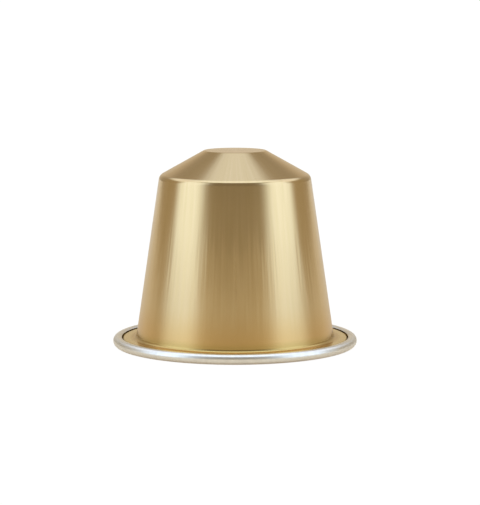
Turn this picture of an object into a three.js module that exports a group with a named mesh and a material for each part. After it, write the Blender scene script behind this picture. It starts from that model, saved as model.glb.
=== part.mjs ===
// A single-serve coffee capsule: a deep-drawn aluminium cup that stands on its rolled rim with its
// small end up. It is sealed and full, so it is one solid, from the cup's outside to the foil lid that
// is bonded under the flange. Millimetres, +Z up. The origin is the centre of the circle that the rim
// stands on, and +Z runs to the nose. A diameter at a rounded edge is taken where the two straight
// faces would meet.

import * as THREE from "three";

// The cup's outside.
const capsuleHeight = 29.7;
const rimDiameter = 37.1;
const footDiameter = 30.1;
const shoulderDiameter = 22.9;
const noseDiameter = 9.4;
const shoulderDrop = 3.8;
const noseEdgeRadius = 0.45;
const shoulderEdgeRadius = 1.1;
const footFilletRadius = 0.5;

// The rolled rim. The flange turns down through a tight bend, and the sheet then runs down, out, up and
// over, so that its bare inner side faces out. The roll is hollow and its cut lip stops short of the
// flange. It is pressed just flat enough underneath to stand.
const sheetThickness = 0.1;
const rollDiameter = 1.54;
const flangeBelowRoll = 0.27;
const bendRadius = 0.25;
const lipGap = 0.45;
const standingFlat = 0.2;

// The foil lid, which covers the mouth and bulges a little under the gas that fresh coffee gives off.
const foilThickness = 0.04;
const foilBulge = 0.35;
const foilEdgeClearance = 0.1;

// How finely round forms are cut into flat faces.
const facetsAround = 64;
const degreesPerFacet = 15;
const bulgeFacets = 6;

const point = (r, z) => new THREE.Vector2(r, z);

// Points along an arc in the half-section, from one angle to another, both ends included.
function arc(centre, radius, from, to) {
  const largestStep = THREE.MathUtils.degToRad(degreesPerFacet);
  const steps = Math.max(2, Math.ceil(Math.abs(to - from) / largestStep));
  return Array.from({ length: steps + 1 }, (_, i) => {
    const angle = from + ((to - from) * i) / steps;
    return point(centre.x + radius * Math.cos(angle), centre.y + radius * Math.sin(angle));
  });
}

// The arc that rounds the corner between two straight faces and is tangent to both.
function roundedCorner(before, corner, after, radius) {
  const back = before.clone().sub(corner).normalize();
  const ahead = after.clone().sub(corner).normalize();
  const halfAngle = Math.acos(back.dot(ahead)) / 2;
  const inward = back.clone().add(ahead).normalize();
  const centre = corner.clone().addScaledVector(inward, radius / Math.sin(halfAngle));
  const reach = radius / Math.tan(halfAngle);
  const start = corner.clone().addScaledVector(back, reach).sub(centre).angle();
  const end = corner.clone().addScaledVector(ahead, reach).sub(centre).angle();
  const turn = THREE.MathUtils.euclideanModulo(end - start + Math.PI, 2 * Math.PI) - Math.PI;
  return arc(centre, radius, start, start + turn);
}

// The roll and the bend that feeds it, which are tangent to each other, the angles in the roll's circle
// where the bend meets it and where the lip ends, and half the angle of the flat that it stands on.
function rimLayout() {
  const rollRadius = rollDiameter / 2;
  const halfFlat = Math.asin(standingFlat / 2 / rollRadius);
  const roll = point(rimDiameter / 2 - rollRadius, rollRadius * Math.cos(halfFlat));
  const flangeTop = rollDiameter - flangeBelowRoll;
  const flangeUnderside = flangeTop - sheetThickness;
  const bendHeight = flangeUnderside - bendRadius;
  const centreDistance = bendRadius + rollRadius;
  const rise = bendHeight - roll.y;
  const bend = point(roll.x - Math.sqrt(centreDistance ** 2 - rise ** 2), bendHeight);
  const bendAngle = Math.PI - Math.asin(rise / centreDistance);
  const lipReach = bendRadius + sheetThickness + lipGap;
  const lipTurn = Math.acos(
    (centreDistance ** 2 + rollRadius ** 2 - lipReach ** 2) / (2 * centreDistance * rollRadius),
  );
  const lipAngle = bendAngle - lipTurn;
  return { roll, rollRadius, halfFlat, bend, bendAngle, lipAngle, flangeTop, flangeUnderside };
}

const rim = rimLayout();

// The nose, the cone of the shoulder, the tapered wall and its fillet on to the flange, from the axis
// outwards.
function cupOutside() {
  const noseCentre = point(0, capsuleHeight);
  const noseEdge = point(noseDiameter / 2, capsuleHeight);
  const shoulder = point(shoulderDiameter / 2, capsuleHeight - shoulderDrop);
  const foot = point(footDiameter / 2, rim.flangeTop);
  const flangeEnd = point(rim.bend.x, rim.flangeTop);
  return [
    noseCentre,
    ...roundedCorner(noseCentre, noseEdge, shoulder, noseEdgeRadius),
    ...roundedCorner(noseEdge, shoulder, foot, shoulderEdgeRadius),
    ...roundedCorner(shoulder, foot, flangeEnd, footFilletRadius),
  ];
}

// The sheet beyond the flange: down round the bend on the lacquered side, round the inside of the roll
// to the lip, back round the roll's outside and across the flat it stands on, and up the bend to the
// flange's underside.
function rolledEdge() {
  const { roll, rollRadius, halfFlat, bend, bendAngle, lipAngle } = rim;
  const bendEnd = bendAngle - Math.PI;
  const rollStart = bendAngle - 2 * Math.PI;
  const outermost = 0;
  const lowest = -Math.PI / 2;
  return [
    ...arc(bend, bendRadius + sheetThickness, Math.PI / 2, bendEnd),
    ...arc(roll, rollRadius - sheetThickness, rollStart, lipAngle).slice(1),
    ...arc(roll, rollRadius, lipAngle, outermost),
    ...arc(roll, rollRadius, outermost, lowest + halfFlat).slice(1),
    ...arc(roll, rollRadius, lowest - halfFlat, rollStart),
    ...arc(bend, bendRadius, bendEnd, Math.PI / 2).slice(1),
  ];
}

// The foil lid from its edge to the axis: flat where it is bonded under the flange, then a shallow dome
// that hangs in the mouth and stays above the face the rim stands on.
function foilLid() {
  const edge = rim.bend.x - foilEdgeClearance;
  const mouth = footDiameter / 2 - sheetThickness;
  const foilUnderside = rim.flangeUnderside - foilThickness;
  const domeRadius = (mouth ** 2 + foilBulge ** 2) / (2 * foilBulge);
  const domeCentre = point(0, foilUnderside + domeRadius - foilBulge);
  const dome = Array.from({ length: bulgeFacets + 1 }, (_, i) => {
    const r = mouth * (1 - i / bulgeFacets);
    return point(r, domeCentre.y - Math.sqrt(domeRadius ** 2 - r ** 2));
  });
  return [point(edge, rim.flangeUnderside), point(edge, foilUnderside), ...dome];
}

// The whole half-section turned about the axis. The lathe takes it from the foot of the axis round to
// the top.
function sealedCapsule() {
  const section = [...cupOutside(), ...rolledEdge(), ...foilLid()].reverse();
  const geometry = new THREE.LatheGeometry(section, facetsAround);
  geometry.rotateX(Math.PI / 2);
  return geometry;
}

const goldLacquer = new THREE.MeshStandardMaterial({ color: 0xc2a36b, roughness: 0.32, metalness: 1 });

const body = new THREE.Mesh(sealedCapsule(), goldLacquer);
body.name = "sealed_capsule";

const capsule = new THREE.Group();
capsule.add(body);

export default capsule;
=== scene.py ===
# %% [markdown]
# # A coffee pod in gold-lacquered aluminium
# This lesson builds the look of a single-serve coffee pod that stands on its rolled rim with its small end
# up. The real pod is a cup drawn from one thin aluminium sheet. The outside of the sheet is lacquered gold
# and the inside is bare, and the rim is rolled so that the bare side turns out. A foil lid closes the mouth
# underneath. The CAD part of the pod comes in first, as a frame of the right size that the finer pieces then
# stand in for. Sizes are worked out in millimetres and turned into metres, which is what Blender counts in.

import math

import bpy
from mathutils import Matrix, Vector


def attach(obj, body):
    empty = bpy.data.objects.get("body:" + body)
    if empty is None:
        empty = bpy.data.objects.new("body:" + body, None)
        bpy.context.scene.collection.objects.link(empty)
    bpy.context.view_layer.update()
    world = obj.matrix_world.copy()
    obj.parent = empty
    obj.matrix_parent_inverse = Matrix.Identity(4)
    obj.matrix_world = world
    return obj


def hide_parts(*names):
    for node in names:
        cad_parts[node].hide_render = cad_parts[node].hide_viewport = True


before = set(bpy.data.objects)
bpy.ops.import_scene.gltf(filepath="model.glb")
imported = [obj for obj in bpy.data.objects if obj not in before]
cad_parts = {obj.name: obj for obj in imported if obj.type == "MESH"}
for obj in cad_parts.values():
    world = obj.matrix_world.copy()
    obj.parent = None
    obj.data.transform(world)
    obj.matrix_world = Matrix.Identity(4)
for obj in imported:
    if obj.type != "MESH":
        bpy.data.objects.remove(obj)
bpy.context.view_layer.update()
node_name = "sealed_capsule"
millimetre = 0.001

# %% [markdown]
# ## The camera
# A long lens far away keeps the pod's sides nearly parallel, as product photographers like it. The camera
# looks down by about seven degrees, which just shows the flat end of the nose and the flange around the
# wall's foot. A lens can be chosen by eye, but here it is worked out from how many pixels one radian covers,
# because that is what a photo can be measured for. The Standard view shows each colour as it is written.

# %% The camera
picture_height = 505
focal_pixels = 2350.57
sensor_height = 36.0
camera_place = Vector((0.0, -0.35399, 0.05974))
camera_target = Vector((0.000758, 0.0, 0.014125))

camera_data = bpy.data.cameras.new("camera")
camera_data.sensor_fit = "VERTICAL"
camera_data.sensor_height = sensor_height
camera_data.lens = focal_pixels * sensor_height / picture_height
camera = bpy.data.objects.new("camera", camera_data)
camera.location = camera_place
camera.rotation_euler = (camera_target - camera_place).to_track_quat("-Z", "Y").to_euler()
bpy.context.scene.collection.objects.link(camera)
bpy.context.scene.camera = camera
bpy.context.scene.view_settings.view_transform = "Standard"
print("lens:", round(camera_data.lens, 2), "mm")

# %% [markdown]
# ## A section made of straight faces and arcs
# Every part of a pod is round, so each piece can be drawn as a half-section and turned about the axis. Two
# small helpers draw the round stretches. The first gives points along an arc. The second rounds the corner
# between two straight faces, with an arc that is tangent to both, as a press tool leaves it. A bevel modifier
# could round the corners too, but each corner would need a weight of its own, and here each simply gets its
# radius.

# %% Arcs and rounded corners
arc_step = math.radians(5)


def arc(centre, radius, start, end):
    """Points along an arc from one angle to another, both ends included."""
    steps = max(2, math.ceil(abs(end - start) / arc_step))
    angles = [start + (end - start) * i / steps for i in range(steps + 1)]
    return [(centre[0] + radius * math.cos(a), centre[1] + radius * math.sin(a)) for a in angles]


def rounded_corner(before, corner, after, radius):
    """The arc that rounds a corner and is tangent to the straight faces on both sides."""
    to_before = math.atan2(before[1] - corner[1], before[0] - corner[0])
    to_after = math.atan2(after[1] - corner[1], after[0] - corner[0])
    opening = (to_after - to_before + math.pi) % (2 * math.pi) - math.pi
    middle = to_before + opening / 2
    to_centre = radius / math.sin(abs(opening) / 2)
    centre = (corner[0] + to_centre * math.cos(middle), corner[1] + to_centre * math.sin(middle))
    start = to_before - math.copysign(math.pi / 2, opening)
    turn = math.copysign(math.pi, opening) - opening
    return arc(centre, radius, start, start - turn)


print("a quarter round has", len(rounded_corner((0, 1), (0, 0), (1, 0), 0.2)), "points")

# %% [markdown]
# ## The sizes
# These are the pod's own sizes. The diameters at rounded edges are taken where the straight faces would meet.
# They could stand as bare numbers in the sections below, but a size that is written once, under its name,
# keeps all the pieces in step when it changes.

# %% The sizes
capsule_height = 29.7
rim_diameter = 37.1
foot_diameter = 30.1
shoulder_diameter = 22.9
nose_diameter = 9.4
shoulder_drop = 3.8
nose_edge_radius = 0.45
shoulder_edge_radius = 1.1
foot_fillet_radius = 0.5
sheet = 0.1
print("the pod is", rim_diameter, "mm across and", capsule_height, "mm high")

# %% [markdown]
# ## The layout of the rolled rim
# The roll of the rim is laid out from the flange. The sheet bends down, then runs round the hollow roll and
# ends in a cut lip near the place where it began. The circle of the bend and the circle of the roll touch, so
# their centres are one sum of radii apart, and a triangle gives the place of the first from the second.
# Drawing the roll by eye would leave kinks, which shiny metal shows at once.

# %% The layout of the rim
roll_diameter = 1.54
flange_below_roll = 0.27
bend_radius = 0.25
lip_gap = 0.26
standing_flat = 0.2

roll_radius = roll_diameter / 2
half_flat = math.asin(standing_flat / 2 / roll_radius)
roll = (rim_diameter / 2 - roll_radius, roll_radius * math.cos(half_flat))
flange_top = roll_diameter - flange_below_roll
flange_underside = flange_top - sheet
bend_height = flange_underside - bend_radius
centre_distance = bend_radius + roll_radius
rise = bend_height - roll[1]
bend = (roll[0] - math.sqrt(centre_distance**2 - rise**2), bend_height)
bend_angle = math.pi - math.asin(rise / centre_distance)
lip_reach = bend_radius + sheet + lip_gap
lip_turn = math.acos(
    (centre_distance**2 + roll_radius**2 - lip_reach**2) / (2 * centre_distance * roll_radius)
)
lip_angle = bend_angle - lip_turn
print("the lip ends at", round(math.degrees(lip_angle)), "degrees round the roll")

# %% [markdown]
# ## Turning a section into a mesh
# A section is a list of runs, and each run has its own finish. Turning it makes one ring of points for each
# point of the section and joins the rings with four-sided faces. A point on the axis stays a single point,
# with a fan of triangles round it. A screw modifier would turn the section as well, but it would give all of
# its faces one finish, and the cup needs two.

# %% Rings of points
turns = 360
same_place = 1e-6
on_axis = 1e-9


def joined(runs):
    """The points of all runs in one list, without doubles, and a list of the finish that leads to each."""
    points = []
    finishes = []
    for finish, run in runs:
        for point in run:
            if not points or math.dist(points[-1], point) >= same_place:
                points.append(point)
                finishes.append(finish)
    return points, finishes


def ringed(points):
    """The vertices of the turned points, in metres, and for each point the numbers of its ring's vertices."""
    vertices = []
    rings = []
    for r, z in points:
        if r < on_axis:
            rings.append([len(vertices)] * turns)
            vertices.append((0.0, 0.0, z * millimetre))
            continue
        rings.append(list(range(len(vertices), len(vertices) + turns)))
        for i in range(turns):
            a = 2 * math.pi * i / turns
            vertices.append((r * millimetre * math.cos(a), r * millimetre * math.sin(a), z * millimetre))
    return vertices, rings


print("a tube of two rings has", len(ringed([(1.0, 0.0), (1.0, 1.0)])[0]), "vertices")

# %% [markdown]
# ## Shading that keeps flat faces flat
# Smooth shading would blur the flat faces next to the small fillets, so a modifier weights the normals by
# face area: the big faces keep their own direction, and the bend stays inside the fillet. Edges that turn by
# more than the sharp angle, as at the cut lip, stay crisp. Sharp edges alone wouldn't do it, because the
# fillets have to stay round.

# %% The lathe
sharp_angle = math.radians(35)
by_area_only = 100


def turned(name, runs, finishes):
    """Turns runs of (finish number, points) about the Z axis into a mesh object with those finishes."""
    points, owners = joined(runs)
    vertices, rings = ringed(points)
    faces = []
    for upper, lower in zip(rings, rings[1:]):
        for i in range(turns):
            j = (i + 1) % turns
            faces.append(list(dict.fromkeys([upper[i], lower[i], lower[j], upper[j]])))
    mesh = bpy.data.meshes.new(name)
    mesh.from_pydata(vertices, [], faces)
    for finish in finishes:
        mesh.materials.append(finish)
    mesh.polygons.foreach_set("material_index", [owner for owner in owners[1:] for _ in range(turns)])
    mesh.shade_smooth()
    mesh.set_sharp_from_angle(angle=sharp_angle)
    thing = bpy.data.objects.new(name, mesh)
    bpy.context.scene.collection.objects.link(thing)
    weighted = thing.modifiers.new("weighted normals", "WEIGHTED_NORMAL")
    weighted.keep_sharp = True
    weighted.weight = by_area_only
    return thing


print("the lathe makes", turns, "faces between two rings")


# %% [markdown]
# ## Shader maths that reads like arithmetic
# Node trees get long when each sum is a node of its own. This class wraps one socket, so that a plus or a
# times sign adds the node. Where a vector or a colour is involved, the node is a Vector Math node. Any other
# node comes from one method, which takes the kind, the settings and the values or wires for its sockets.

# %% A wire between nodes
class Wire:
    """An output socket. Arithmetic on it adds nodes and gives the wire that leaves them."""

    # The Mix node has several sockets of one name, so those for colours go by number.
    mix_factor, mix_first, mix_second, mixed_colour = 0, 6, 7, 2

    def __init__(self, tree, socket=None):
        self.tree = tree
        self.socket = socket

    def node(self, kind, settings=None, values=None, output=0):
        """Adds a node, gives it its settings and then its values, and returns the wire from an output."""
        made = self.tree.nodes.new("ShaderNode" + kind)
        for name, setting in (settings or {}).items():
            setattr(made, name, setting)
        for name, value in (values or {}).items():
            if isinstance(value, Wire):
                self.tree.links.new(value.socket, made.inputs[name])
            else:
                made.inputs[name].default_value = value
        return Wire(self.tree, made.outputs[output])

    def beside(self, output):
        """The wire from another output of the node that this one leaves."""
        return Wire(self.tree, self.socket.node.outputs[output])

    def to_surface(self, output_node):
        """Leads this wire into the surface of an output node."""
        self.tree.links.new(self.socket, output_node.inputs["Surface"])

    def maths(self, operation, *operands):
        """A Math node, or a Vector Math node where one of the operands is more than a number."""
        vector = any(isinstance(o, Wire) and o.socket.type != "VALUE" for o in operands)
        if vector:
            operands = [o if isinstance(o, (Wire, tuple)) else (o, o, o) for o in operands]
        kind = "VectorMath" if vector else "Math"
        return self.node(kind, {"operation": operation}, dict(enumerate(operands)))

    def __add__(self, other):
        return self.maths("ADD", self, other)

    def __radd__(self, other):
        return self.maths("ADD", other, self)

    def __sub__(self, other):
        return self.maths("SUBTRACT", self, other)

    def __rsub__(self, other):
        return self.maths("SUBTRACT", other, self)

    def __mul__(self, other):
        return self.maths("MULTIPLY", self, other)

    def __rmul__(self, other):
        return self.maths("MULTIPLY", other, self)

    def __truediv__(self, other):
        return self.maths("DIVIDE", self, other)

    def __rtruediv__(self, other):
        return self.maths("DIVIDE", other, self)

    def smooth(self, first, last, start=0.0, end=1.0):
        """Runs from start to end as the value goes from first to last, up or down, and stops there."""
        limits = {"Value": self, "From Min": first, "From Max": last, "To Min": start, "To Max": end}
        return self.node("MapRange", {"interpolation_type": "SMOOTHSTEP"}, limits)

    def band(self, low, high, softness):
        """One between low and high, nought outside, with soft edges."""
        return self.smooth(low - softness, low + softness) * self.smooth(high + softness, high - softness)

    def blend(self, first, second):
        """Mixes from the first colour to the second as this value goes from nought to one."""
        values = {self.mix_factor: self, self.mix_first: first, self.mix_second: second}
        return self.node("Mix", {"data_type": "RGBA"}, values, self.mixed_colour)


named = [name for name, thing in vars(Wire).items() if callable(thing) and not name.startswith("_")]
print("besides arithmetic, a wire knows", ", ".join(named))

# %% [markdown]
# ## An empty material and a metal finish
# All three finishes of the pod are metal, so one helper fills a material with it. Each gives its own colour,
# roughness and relief. The relief goes through a Bump node, because marks a few hundredths of a millimetre
# deep are far too fine to model.

# %% Materials
white = (1.0, 1.0, 1.0, 1.0)


def new_material(name):
    """An empty material, its Wire for adding nodes, and its output node."""
    material = bpy.data.materials.new(name)
    material.use_nodes = True
    tree = material.node_tree
    tree.nodes.clear()
    return material, Wire(tree), tree.nodes.new("ShaderNodeOutputMaterial")


def metal(start, output, colour, roughness, relief, strength, depth, extras=None):
    """Fills a material with metal. The relief is a wire of heights, and its depth is in metres."""
    bump = start.node("Bump", None, {"Strength": strength, "Distance": depth, "Height": relief})
    values = {"Base Color": colour, "Metallic": 1.0, "Roughness": roughness, "Normal": bump}
    start.node("BsdfPrincipled", None, {**values, **(extras or {})}).to_surface(output)


print("white is", white)

# %% [markdown]
# ## Around, outwards and up
# Marks on a drawn cup run along the wall and not round it. To stretch a pattern that way, each point is
# described by its direction from the axis, which has no seam, and by its height. A noise that changes fast
# with direction and slowly with height gives long thin lines, as a punch and die leave them. A picture of
# scratches would need an unwrapped mesh, and would show its seam at the back.

# %% Coordinates and noise for turned pieces
never_nought = 1e-6


def turned_coordinates(start):
    """The direction from the axis as a unit vector, the distance from it and the height, in millimetres."""
    place = start.node("TexCoord", output="Object") * (1 / millimetre)
    x = start.node("SeparateXYZ", None, {"Vector": place}, "X")
    y = x.beside("Y")
    radius = start.maths("SQRT", x * x + y * y + never_nought)
    return x / radius, y / radius, radius, x.beside("Z")


def streaks(start, lines, length):
    """Noise with this many lines to a radian and marks about this many millimetres long."""
    x, y, radius, z = turned_coordinates(start)
    place = start.node("CombineXYZ", None, {"X": x * lines, "Y": y * lines, "Z": (z + radius) / length})
    settings = {"noise_dimensions": "3D"}
    return start.node("TexNoise", settings, {"Vector": place, "Scale": 1.0, "Detail": 1.0})


print("one unit of the object place is", round(1 / millimetre), "mm")

# %% [markdown]
# ## Gold lacquer
# The gold of such a pod is a thin tinted lacquer over bright aluminium. It reflects like metal, so the
# metallic value is one, and a second clear coat gives the crisp edge of the brightest reflections. The drawn
# surface is rougher across the draw marks than along them, which is what the anisotropic setting does. The
# marks themselves come from the streak noise, in the colour, the roughness and the bump, and fade out near
# the shoulder and the foot. Towards the foot the gold turns deeper. The crease above the flange gets painted
# shade, a darker gold in the colour where shade falls. The flange itself is paler. These colours follow the
# height and the distance from the axis, so no mask has to be painted for them.

# %% The gold lacquer: colours and heights
gold_deep = (0.745, 0.525, 0.255, 1.0)
gold_light = (0.775, 0.555, 0.285, 1.0)
gold_foot = (0.745, 0.470, 0.180, 1.0)
# Painted shade: this darker gold stands in for the shade that falls in the crease above the flange.
gold_crease_painted_shade = (0.655, 0.435, 0.148, 1.0)
gold_flange = (0.800, 0.605, 0.265, 1.0)
below_shoulder = (22.0, 15.0)
above_foot = (3.0, 11.0)
wear_heights = (26.0, 2.0)
wear_roughness = (0.17, 0.27)
foot_heights = (8.0, 1.5)
painted_shade_heights = (2.8, 1.7)
flange_distances = (15.5, 16.2)
tone_contrast = (0.3, 0.7)
tone_roughness = 0.05
fine_relief = 0.5
broad_relief = 1.5
print("the marks lie between", above_foot[0], "and", below_shoulder[0], "mm above the table")

# %% The gold lacquer
gold, start, output = new_material("gold_lacquer")
x, y, radius, z = turned_coordinates(start)
fine = streaks(start, lines=50.0, length=9.0)
broad = streaks(start, lines=16.0, length=11.0)
drawn = z.smooth(*below_shoulder) * z.smooth(*above_foot)
tone = (fine * 0.5 + broad * 0.5).smooth(*tone_contrast)
marks = (fine * fine_relief + broad * broad_relief) * drawn
worn = z.smooth(*wear_heights, *wear_roughness)
wall_gold = z.smooth(*foot_heights).blend(tone.blend(gold_deep, gold_light), gold_foot)
# Painted shade: the crease above the flange is darkened in the colour here.
gold_with_painted_crease_shade = z.smooth(*painted_shade_heights).blend(wall_gold, gold_crease_painted_shade)
gold_colour = radius.smooth(*flange_distances).blend(gold_with_painted_crease_shade, gold_flange)
lacquer = {"Anisotropic": 0.4, "Coat Weight": 0.1, "Coat Roughness": 0.12}
gold_roughness = worn + (tone - 0.5) * drawn * tone_roughness
metal(start, output, gold_colour, gold_roughness, marks, 0.55, 0.03 * millimetre, lacquer)
print("gold lacquer:", len(gold.node_tree.nodes), "nodes")

# %% [markdown]
# ## Bare aluminium
# The rolled rim shows the inner side of the sheet, which has no lacquer and next to no colour. Rolling it
# leaves the surface satin, duller than the gold beside it, and its broad soft highlights need a higher
# roughness. A little of the same streak noise is enough, because the roll is too narrow to show single marks.

# %% The bare aluminium
bare_dull = (0.89, 0.830, 0.740, 1.0)
bare_bright = (0.94, 0.88, 0.79, 1.0)
bare_roughness = (0.38, 0.33)

bare, start, output = new_material("bare_aluminium")
fine = streaks(start, lines=30.0, length=2.0)
bare_colour = fine.smooth(*tone_contrast).blend(bare_dull, bare_bright)
satin = fine.smooth(*tone_contrast, *bare_roughness)
metal(start, output, bare_colour, satin, fine, 0.1, 0.02 * millimetre, {"Anisotropic": 0.3})
print("bare aluminium:", len(bare.node_tree.nodes), "nodes")

# %% [markdown]
# ## The cup
# The section starts at the top of the axis and follows the lacquered side: the flat nose, the cone, the wall
# and the flange, then down round the bend and inside the roll to the lip. There the finish changes, and the
# section comes back along the bare side, round the outside of the roll and under the flange. A solidify
# modifier could thicken a single surface instead, but drawn sides keep every radius true and put the change
# of finish right at the lip.

# %% The cup
lacquered = 0
bare_side = 1
nose_centre = (0.0, capsule_height)
nose_edge = (nose_diameter / 2, capsule_height)
shoulder = (shoulder_diameter / 2, capsule_height - shoulder_drop)
foot = (foot_diameter / 2, flange_top)
flange_end = (bend[0], flange_top)
bend_end = bend_angle - math.pi
roll_start = bend_angle - 2 * math.pi
straight_down = -math.pi / 2
outside = [
    nose_centre,
    *rounded_corner(nose_centre, nose_edge, shoulder, nose_edge_radius),
    *rounded_corner(nose_edge, shoulder, foot, shoulder_edge_radius),
    *rounded_corner(shoulder, foot, flange_end, foot_fillet_radius),
    *arc(bend, bend_radius + sheet, math.pi / 2, bend_end),
    *arc(roll, roll_radius - sheet, roll_start, lip_angle),
]
inside = [
    *arc(roll, roll_radius, lip_angle, 0.0),
    *arc(roll, roll_radius, 0.0, straight_down + half_flat),
    *arc(roll, roll_radius, straight_down - half_flat, roll_start),
    *arc(bend, bend_radius, bend_end, math.pi / 2),
    (0.0, flange_underside),
]
cup = turned("cup", [(lacquered, outside), (bare_side, inside)], [gold, bare])
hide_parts(node_name)
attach(cup, "root")
print("cup:", len(cup.data.polygons), "faces")

# %% [markdown]
# ## The section of the foil lid
# A disc of foil is sealed by heat to the bare side of the flange. It is flat on the sealed ring, and from
# there it hangs as a shallow dome, pushed out by the gas that fresh coffee gives off. A flat disc would be
# simpler, but a fresh pod hardly ever has one. The dome is a piece of a ball, which is the shape that
# pressure gives.

# %% The section of the lid
foil = 0.04
foil_bulge = 0.35
foil_edge_clearance = 0.1
dome_rings = 24
foil_edge = bend[0] - foil_edge_clearance
mouth = foot_diameter / 2 - sheet
dome_radius = (mouth**2 + foil_bulge**2) / (2 * foil_bulge)


def dome(height, inwards):
    """Points of a shallow dome that hangs from the mouth's edge at this height."""
    steps = range(dome_rings + 1)
    radii = [mouth * (1 - i / dome_rings if inwards else i / dome_rings) for i in steps]
    centre = height + dome_radius - foil_bulge
    return [(r, centre - math.sqrt(dome_radius**2 - r**2)) for r in radii]


lid_section = [
    *dome(flange_underside, inwards=False),
    (foil_edge, flange_underside),
    (foil_edge, flange_underside - foil),
    *dome(flange_underside - foil, inwards=True),
]
print("the dome is part of a ball", round(dome_radius * 2), "mm across")

# %% [markdown]
# ## The foil and the lid
# Foil this thin always has small crinkles. A distorted noise in the bump gives their facets, and the same
# noise in the colour and roughness keeps them from looking printed on. Modelled crinkles would cost many
# faces on a side that is hardly ever seen.

# %% The foil lid
foil_dull = (0.86, 0.82, 0.77, 1.0)
foil_bright = (0.92, 0.88, 0.82, 1.0)
foil_roughness = (0.3, 0.2)
crinkles = {"Scale": 300.0, "Detail": 4.0, "Distortion": 1.5}

foil_finish, start, output = new_material("foil")
place = start.node("TexCoord", output="Object")
crinkle = start.node("TexNoise", None, {"Vector": place, **crinkles})
foil_colour = crinkle.smooth(*tone_contrast).blend(foil_dull, foil_bright)
shine = crinkle.smooth(*tone_contrast, *foil_roughness)
metal(start, output, foil_colour, shine, crinkle, 0.35, 0.1 * millimetre)
lid = turned("lid_foil", [(0, lid_section)], [foil_finish])
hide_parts(node_name)
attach(lid, "root")
print("lid:", len(lid.data.polygons), "faces")

# %% [markdown]
# ## The studio: where things are
# Metal shows nothing but its surroundings, so the studio is most of the look. Area lamps could light the pod,
# but their reflections have hard edges. A picture of a real room would put that room's own lamps into the
# metal. So the studio is painted on the world by direction instead. The pod is lit evenly from both sides, so
# a direction is how far it lies round from the camera's side, in degrees, and how high, as the sine of its
# angle above the table.

# %% The directions of the studio
world = bpy.data.worlds.new("studio")
bpy.context.scene.world = world
world.use_nodes = True
world.node_tree.nodes.clear()
start = Wire(world.node_tree)
direction = start.node("TexCoord", output="Generated")
x = start.node("SeparateXYZ", None, {"Vector": direction}, "X")
back = x.beside("Y")
height = x.beside("Z")
across = start.maths("ABSOLUTE", x)
around = start.maths("ARCTAN2", across, 0.0 - back) * math.degrees(1)
print("directions take", len(world.node_tree.nodes), "nodes")

# %% [markdown]
# ## The studio: walls
# The room is dim in front and a little lighter at the sides and high up behind, and it has a lit wall low at
# the back, which brightens the edges of the pod. A pale glow low in front, where the table ends, shows in the
# gold near the foot. Each wall is one colour that is blended in over a range of directions, which is why none
# of them leaves a hard edge on the metal.

# %% The walls
room = (0.25, 0.23, 0.19, 1.0)
side_gap = (0.40, 0.35, 0.25, 1.0)
dim_ceiling = (0.37, 0.34, 0.28, 1.0)
back_wall = (0.68, 0.60, 0.46, 1.0)
horizon = (0.84, 0.78, 0.60, 1.0)
to_side = (75.0, 90.0)
to_ceiling = (125.0, 150.0)
to_back = (140.0, 178.0)
back_wall_top = (0.60, 0.33)
glow_end = (75.0, 50.0)
glow_top = (0.17, 0.07)

light = around.smooth(*to_side).blend(room, side_gap)
light = around.smooth(*to_ceiling).blend(light, dim_ceiling)
wall = around.smooth(*to_back) * height.smooth(*back_wall_top)
light = wall.blend(light, back_wall)
glow = around.smooth(*glow_end) * height.smooth(*glow_top)
light = glow.blend(light, horizon)
print("the back wall is", round(back_wall[0] / room[0], 1), "times as bright as the front of the room")

# %% [markdown]
# ## The studio: soft boxes at the sides
# A tall soft box stands on each side, towards the camera, and makes the two tall highlights on the wall of
# the cup. Higher up and further round, a second pair lights the rim. The boxes are bluish, as daylight lamps
# are, so that the gold in them looks pale. They could be meshes that glow, but a painted box has soft edges
# for nothing and never stands in the way of the camera.

# %% The soft boxes at the sides
soft_box = (1.22, 1.50, 1.90, 1.0)
side_box = (1.04, 1.16, 1.38, 1.0)
tall_near_edge = (37.0, 60.0)
tall_far_edge = (101.0, 86.0)
tall_foot = (-0.04, 0.1)
tall_top = (0.8, 0.65)
high_edges = (70.0, 146.0)
high_softness = 9.0
high_foot = (0.42, 0.60)

high = around.band(*high_edges, high_softness) * height.smooth(*high_foot)
light = high.blend(light, side_box)
tall = around.smooth(*tall_near_edge) * around.smooth(*tall_far_edge)
tall = tall * height.smooth(*tall_foot) * height.smooth(*tall_top)
light = tall.blend(light, soft_box)
tall_middle = (sum(tall_near_edge) + sum(tall_far_edge)) / 4
print("the middle of a tall box lies", round(tall_middle), "degrees round")

# %% [markdown]
# ## The studio: the soft box overhead
# One more soft box hangs over the pod, a little behind it, for the cone and the top of the rim. Directions
# alone would bend its outline, so each direction is followed up to where it meets a flat ceiling one unit
# above the table, and the box is an oval drawn there. Its far side is dimmer than its near side.

# %% The soft box overhead
overhead_near = (1.17, 1.41, 1.76, 1.0)
overhead_far = (0.90, 1.04, 1.28, 1.0)
overhead_width = 0.85
overhead_depth = 0.6
overhead_centre = 0.1
overhead_edge = (1.12, 0.8)
overhead_lowest = (0.15, 0.3)
near_to_far = (0.0, 0.45)
lowest_meeting = 0.1

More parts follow.
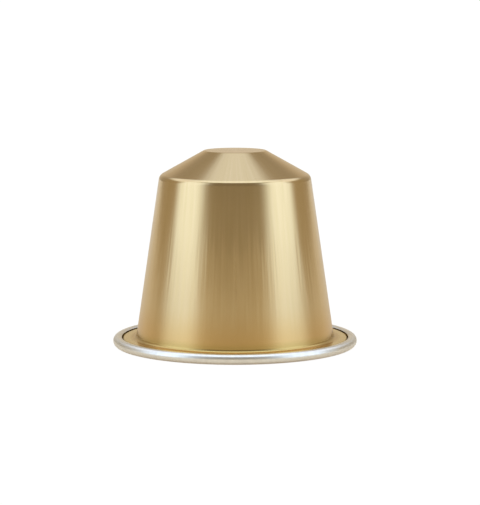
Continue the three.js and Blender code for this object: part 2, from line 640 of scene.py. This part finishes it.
climb = start.maths("MAXIMUM", height, lowest_meeting)
meeting = back / climb
wide = across / climb / overhead_width
deep = (meeting - overhead_centre) / overhead_depth
reach = start.maths("SQRT", wide * wide + deep * deep)
overhead = reach.smooth(*overhead_edge) * height.smooth(*overhead_lowest)
light = overhead.blend(light, meeting.smooth(*near_to_far).blend(overhead_near, overhead_far))
print("the studio takes", len(world.node_tree.nodes), "nodes")

# %% [markdown]
# ## The studio: what the camera sees
# Only the metal sees the painted studio. Straight from the camera the world is plain white, as the backdrop
# of a product photo is, and a Light Path node tells the two apart.

# %% The white backdrop
seen = start.node("LightPath", output="Is Camera Ray")
light = seen.blend(light, white)
world_output = world.node_tree.nodes.new("ShaderNodeOutputWorld")
start.node("Background", None, {"Color": light, "Strength": 1.0}).to_surface(world_output)
print("the world has", len(world.node_tree.nodes), "nodes")

# %% [markdown]
# ## The table
# The pod stands on a white table that runs on into the white backdrop. To the camera it is nearly all plain
# white, with only a trace of the shadow where the rim touches it. The metal sees it as a warm matt surface.
# So the table mixes a matt and a glowing shader, and the camera gets the larger share of the glow. Without a
# table the pod would float, and the lower half of the rim would have nothing to reflect.

# %% The table
floor_size = 8.0
table_tan = (0.90, 0.765, 0.57, 1.0)
glow_strength = 1.07
glow_share = 0.12
glow_share_for_camera = 0.78

half = floor_size / 2
corners = [(-half, -half, 0), (half, -half, 0), (half, half, 0), (-half, half, 0)]
mesh = bpy.data.meshes.new("table")
mesh.from_pydata(corners, [], [(0, 1, 2, 3)])
table = bpy.data.objects.new("table", mesh)
bpy.context.scene.collection.objects.link(table)
finish, start, output = new_material("table")
matt = start.node("BsdfDiffuse", None, {"Color": table_tan})
glowing = start.node("Emission", None, {"Color": white, "Strength": glow_strength})
share = start.node("LightPath", output="Is Camera Ray") * glow_share_for_camera + glow_share
start.node("MixShader", None, {0: share, 1: matt, 2: glowing}).to_surface(output)
mesh.materials.append(finish)
print("table:", floor_size, "m wide")

# %% [markdown]
# ## Finish
# The fine pieces must not be larger than the CAD part.
